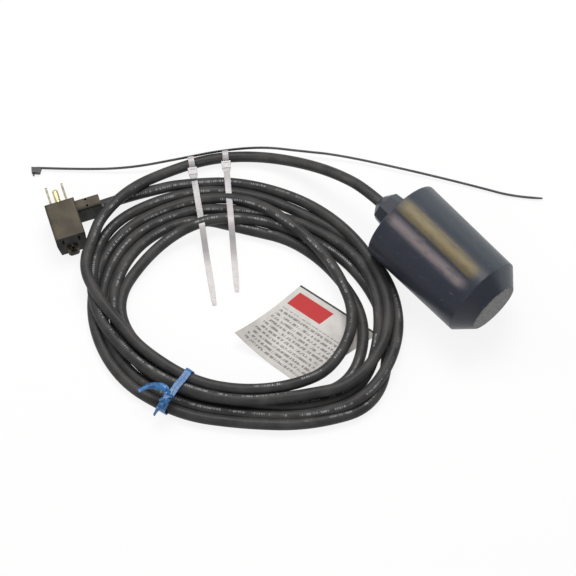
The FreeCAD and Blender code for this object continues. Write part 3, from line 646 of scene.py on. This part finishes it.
def makeWhiteTie(name, spot):
    centre = nearestOnCord(spot["over"])
    height = centre.z / mm
    back, up = whiteTies["loopShift"]
    reach = whiteTies["loop"]
    wide, thick = whiteTies["wide"], whiteTies["thick"]
    headLong, headWide, headTall = whiteTies["head"]
    headStart = reach + back - whiteTies["headLap"]
    headMiddle = headStart + headLong / 2
    collarLong, collarWide, collarTall = whiteTies["collar"]
    collarMiddle = headStart + headLong + whiteTies["collarShift"]
    barLong, barWide, barTall = whiteTies["bar"]
    tipLong, tipWide = whiteTies["tip"]
    opening = whiteTies["opening"]
    bm = bmesh.new()
    loop = []
    for step in range(41):
        angle = math.radians(-opening - (360 - 2 * opening) * step / 40)
        z = up + reach * math.sin(angle)
        loop.append(Vector((back + reach * math.cos(angle), 0, max(z, whiteTies["lowest"] - height))))
    stripAlong(bm, loop, Vector((0, 1, 0)), wide, thick)
    control = [Vector((headStart + 2.0, 0, up + 0.3)), Vector((headStart + headLong, 0, up + 0.2))]
    control += [Vector((x, 0, z - height)) for x, z in spot["tail"]]
    tailLine = smoothLine(control, steps=10)
    last = control[-1].x

    def tip(share):
        left = (1 - share) * (last - headStart)
        return 1.0 if left > tipLong else tipWide + (1 - tipWide) * math.sqrt(max(left, 0) / tipLong)

    stripAlong(bm, tailLine, Vector((0, 1, 0)), wide, thick, tip)
    head = block(bm, (headLong, headWide, headTall), (headMiddle, 0, up))
    narrowEnd(head, headMiddle, up, whiteTies["headTaper"])
    collar = block(bm, (collarLong, headWide * collarWide, headTall * collarTall), (collarMiddle, 0, up))
    narrowEnd(collar, collarMiddle, up, whiteTies["collarTaper"])
    block(bm, (barLong, wide * barWide, barTall), (headStart + whiteTies["barShift"], 0, up + headTall / 2))
    setDown(bm, spot["turn"], centre)
    piece = addPiece(name.replace("_", "-"), finishMesh(name, bm), "tie_white", (name,), 40)
    piece.data.uv_layers[0].name = "alongTie"
    softEdges(piece, 0.00022)
    return piece


# black tie: a long thin strap on its edge, run out along the cord's far side
blackTie = {
    "wide": 2.5,
    "thick": 1.0,
    "route": [
        (-281.5, -170.5, 2.0),
        (-253.5, -142.0, 2.2),
        (-229.0, -114.5, 4.6),
        (-208.2, -82.8, 8.4),
        (-190.4, -52.1, 9.5),
        (-170.4, -25.0, 9.2),
        (-148.8, -4.7, 6.4),
        (-126.5, 16.8, 4.0),
        (-76.0, 51.0, 3.2),
        (-31.5, 79.5, 2.2),
        (-4.5, 95.5, 1.8),
        (11.0, 111.0, 1.6),
    ],
    "head": (8.2, 5.2, 3.6),
    "stub": (1.2, 2.6, 1.0),
    "tip": (0.985, 0.5),
}


def makeBlackTie():
    line = smoothLine([Vector(p) for p in blackTie["route"]], steps=10)
    tipFrom, tipWide = blackTie["tip"]
    bm = bmesh.new()

    def tip(share):
        return 1.0 if share < tipFrom else tipWide + (1 - tipWide) * (1 - share) / (1 - tipFrom)

    stripAlong(bm, line, Vector((0, 0, 1)), blackTie["wide"], blackTie["thick"], tip)
    ahead = (line[1] - line[0]).normalized()
    headLong, headWide, headTall = blackTie["head"]
    stubWide, stubLong, stubTall = blackTie["stub"]
    head = block(bm, (headLong, headWide, headTall), (0, -headWide / 2, 0))
    for vert in head:
        if vert.co.y < -headWide / 2:
            vert.co.x *= 0.8
    head += block(bm, (headLong * 0.5, 0.5, headTall * 0.6), (0.6, 0.1, 0))
    head += block(bm, (stubWide, stubLong, stubTall), (-headLong * 0.2, -headWide - stubLong / 2 + 0.2, 0))
    turn = Matrix.Rotation(math.atan2(ahead.y, ahead.x), 3, "Z")
    bmesh.ops.rotate(bm, cent=(0, 0, 0), matrix=turn, verts=head)
    bmesh.ops.translate(bm, vec=line[0], verts=head)
    bmesh.ops.scale(bm, vec=(mm, mm, mm), verts=bm.verts)
    piece = addPiece("blackTie", finishMesh("blackTie", bm), "tie_black", ("black_tie",), 40)
    softEdges(piece, 0.0002)
    return piece


# blue tie: soft ribbon pulled tight round the bundle, its knot on top with two curled ends
blueTie = {
    "angle": 236.0,
    "band": [(69.5, 9), (69.5, 14.5), (71.5, 19.0), (77, 19.6), (86, 19.4), (95, 19.8), (101, 20.6),
             (105.5, 18.5), (108.6, 13.5), (109.0, 7.5), (106.5, 1.2), (98, 0.5), (86, 0.4), (76, 0.5),
             (70.2, 2.4)],
    "strands": ((-1.35, 2.9, 0.6), (1.35, 2.7, 0.8)),
    "ripple": (0.25, 0.5),
    "knot": (101.5, 21.4),
    "knotSize": (4.4, 3.3, 2.1),
    "wrapReach": (4.5, 2.4),
    "wrapTilts": (-35, 40),
    "wrapWide": 2.2,
    "wrapThick": 0.6,
    "ends": [
        [(98, 0, 22), (95.5, -3, 23.4), (95.5, -8, 23.2), (98, -13.5, 22.3), (102, -18, 21.4),
         (108, -21, 20.6)],
        [(102, 0, 22), (105.5, -0.8, 21.6), (109, -1.6, 18.8), (112, -2.4, 14.5), (114.2, -3.0, 10.6)],
    ],
    "endWide": (5.4, 3.4),
}


def ribbonEnd(bm, points, wide):  # a puffed and folded end, drawn out ring by ring
    line = smoothLine([Vector(p) for p in points], steps=8)
    made = bmesh.ops.create_circle(bm, segments=10, radius=0.5, cap_ends=True)
    face = made["verts"][0].link_faces[0]
    for index, centre in enumerate(line):
        ahead = (line[min(index + 1, len(line) - 1)] - line[max(index - 1, 0)]).normalized()
        side = Vector((0, 0, 1)).cross(ahead).normalized()
        top = ahead.cross(side)
        if index:
            face = bmesh.ops.extrude_discrete_faces(bm, faces=[face])["faces"][0]
        share = index / (len(line) - 1)
        puff = 0.62 + 0.5 * math.sin(math.pi * min(share * 1.15, 1.0))
        for step, loop in enumerate(face.loops):
            angle = 2 * math.pi * step / len(face.loops)
            fold = 1 + 0.16 * math.sin(3 * angle + 5 * share)
            out = side * (math.cos(angle) * wide / 2 * puff * fold)
            loop.vert.co = centre + out + top * (math.sin(angle) * wide / 3.4 * puff * fold)


def ribbonKnot(bm):  # a lump with two wraps across it
    knotLong, knotWide, knotTall = blueTie["knotSize"]
    knotPlace = Vector((blueTie["knot"][0], 0, blueTie["knot"][1]))
    wrapLong, wrapTall = blueTie["wrapReach"]
    knot = bmesh.ops.create_icosphere(bm, subdivisions=3, radius=1.0)["verts"]
    for vert in knot:
        x, y, z = vert.co
        lump = 1 + 0.13 * math.sin(4.2 * x + 3.0 * y) + 0.1 * math.sin(6.0 * y - 2.0 * z)
        vert.co = Vector((x * knotLong, y * knotWide, z * knotTall)) * lump
    bmesh.ops.translate(bm, vec=knotPlace, verts=knot)
    for tilt in blueTie["wrapTilts"]:
        across = Matrix.Rotation(math.radians(tilt), 3, "Z")
        wrap = []
        for step in range(25):
            angle = 2 * math.pi * step / 24
            point = Vector((wrapLong * math.cos(angle), 0, wrapTall * math.sin(angle)))
            point.rotate(across)
            wrap.append(point + knotPlace)
        stripAlong(bm, wrap, across @ Vector((0, 1, 0)), blueTie["wrapWide"], blueTie["wrapThick"])


def makeBlueTie():
    bm = bmesh.new()
    band = smoothLine([Vector((x, 0, z)) for x, z in blueTie["band"]], closed=True, steps=6)
    sway, pace = blueTie["ripple"]
    for shift, wide, thick in blueTie["strands"]:
        strand = [p + Vector((0, shift + sway * math.sin(index * pace), 0))
                  for index, p in enumerate(band + band[:1])]
        stripAlong(bm, strand, Vector((0, 1, 0)), wide, thick)
    for points, wide in zip(blueTie["ends"], blueTie["endWide"]):
        ribbonEnd(bm, points, wide)
    ribbonKnot(bm)
    centre = Vector((cord["centre"][0], cord["centre"][1], 0)) * mm
    setDown(bm, blueTie["angle"] + cord["turn"], centre)
    piece = addPiece("blueTie", finishMesh("blueTie", bm), "tie_blue", ("coil_tie",), 50)
    softEdges(piece, 0.00018)
    return piece


# tag: a thin printed sheet held under the turns, its free left corner curled up
tag = {
    "corners": [(-62.2, -82.8), (-62.0, -151.5), (-0.8, -139.9), (8.3, -67.1)],
    "lift": 13.2,
    "curlFrom": 0.25,
    "curlAcross": 1.15,
    "wave": (0.5, 5.0),
    "bottom": 0.35,
    "thick": 0.4,
}


def makeTag():
    top, left, bottom, right = [Vector((x, y, 0)) for x, y in tag["corners"]]
    swell, pace = tag["wave"]
    bm = bmesh.new()
    uv = bm.loops.layers.uv.verify()
    grid = bmesh.ops.create_grid(bm, x_segments=24, y_segments=24, size=0.5)
    seat = {vert: (vert.co.x + 0.5, vert.co.y + 0.5) for vert in grid["verts"]}
    for vert, (across, down) in seat.items():
        edge = top.lerp(right, across)
        end = left.lerp(bottom, across)
        share = (down - across * tag["curlAcross"] - tag["curlFrom"]) / (1 - tag["curlFrom"])
        curl = max(0.0, share) ** 2
        wave = swell * math.sin(across * pace) * down * (1 - down)
        vert.co = edge.lerp(end, down) + Vector((0, 0, tag["bottom"] + tag["lift"] * curl + wave))
    for face in bm.faces:
        for loop in face.loops:
            loop[uv].uv = seat[loop.vert]
    bmesh.ops.solidify(bm, geom=bm.faces[:], thickness=tag["thick"])
    bmesh.ops.scale(bm, vec=(mm, mm, mm), verts=bm.verts)
    piece = addPiece("tag", finishMesh("tag", bm), "tag_vinyl", ("cord_tag",), 40)
    piece.data.uv_layers[0].name = "onTag"
    return piece


ties = [makeWhiteTie(name, spot) for name, spot in whiteTies["places"].items()]
ties += [makeBlackTie(), makeBlueTie(), makeTag()]
print("ties and tag:", len(ties))


# stage and light
studio = {
    "floorSize": 6.0,
    "floorDrop": 0.0003,
    "floorGrey": 0.86,
    "floorGlow": 0.86,
    "world": 0.35,
}


def whiteGround():
    material = bpy.data.materials.new("whiteGround")
    material.use_nodes = True
    value = Value(material.node_tree)
    tree = material.node_tree
    seen = value.make("ShaderNodeLightPath")
    mirrored = value.make("ShaderNodeLightPath", output=5)
    through = value.make("ShaderNodeLightPath", output=6)
    direct = value.maths("MAXIMUM", seen, value.maths("MAXIMUM", mirrored, through))
    plain = value.make("ShaderNodeBsdfDiffuse", inputs={0: grey(studio["floorGrey"])})
    bright = value.make("ShaderNodeEmission", inputs={0: grey(1.0), 1: 1.0})
    mixed = value.make("ShaderNodeMixShader",
                       inputs={0: direct * studio["floorGlow"], 1: plain, 2: bright})
    tree.links.new(mixed.socket, tree.nodes["Material Output"].inputs["Surface"])
    return material


def makeFloor():
    bm = bmesh.new()
    bmesh.ops.create_grid(bm, x_segments=1, y_segments=1, size=studio["floorSize"] / 2)
    mesh = bpy.data.meshes.new("floor")
    bm.to_mesh(mesh)
    bm.free()
    mesh.materials.append(whiteGround())
    ground = bpy.data.objects.new("floor", mesh)
    ground.location.z = -studio["floorDrop"]
    bpy.context.scene.collection.objects.link(ground)


def makeWorld():
    world = bpy.data.worlds.new("studio")
    world.use_nodes = True
    tree = world.node_tree
    value = Value(tree)
    seen = value.make("ShaderNodeLightPath")
    strength = seen * (1.0 - studio["world"]) + studio["world"]
    sky = value.make("ShaderNodeBackground", inputs={0: grey(1.0), 1: strength})
    tree.links.new(sky.socket, tree.nodes["World Output"].inputs["Surface"])
    bpy.context.scene.world = world


lamps = {
    "overhead": {
        "place": (-0.45, 0.35, 1.25),
        "aim": (-0.05, -0.05, 0.0),
        "size": (0.9, 0.6),
        "power": 15.0,
        "colour": (1, 0.99, 0.97),
    },
    "front": {
        "place": (0.8, -1.1, 0.9),
        "aim": (-0.05, -0.05, 0.0),
        "size": (1.0, 0.6),
        "power": 3.0,
        "colour": (1, 1, 1),
    },
    "left": {
        "place": (-1.1, -0.4, 0.9),
        "aim": (-0.1, -0.1, 0.0),
        "size": (0.7, 0.7),
        "power": 4.0,
        "colour": (1, 1, 1),
    },
}


def makeLamps():
    for name, lamp in lamps.items():
        data = bpy.data.lights.new(name, "AREA")
        data.shape = "RECTANGLE"
        data.size, data.size_y = lamp["size"]
        data.energy = lamp["power"]
        data.color = lamp["colour"]
        holder = bpy.data.objects.new(name, data)
        holder.location = lamp["place"]
        toward = Vector(lamp["aim"]) - Vector(lamp["place"])
        holder.rotation_euler = toward.to_track_quat("-Z", "Y").to_euler()
        bpy.context.scene.collection.objects.link(holder)


makeFloor()
makeWorld()
makeLamps()
bpy.context.scene.view_settings.view_transform = "Standard"
print("stage and light set")

plugNames = ("plug_body", "line_blade_left", "line_blade_right", "ground_pin", "outlet_contact_left",
             "outlet_contact_right", "outlet_ground")
plugPieces = [frame["nodes"][name] for name in plugNames]
plugPieces + ties
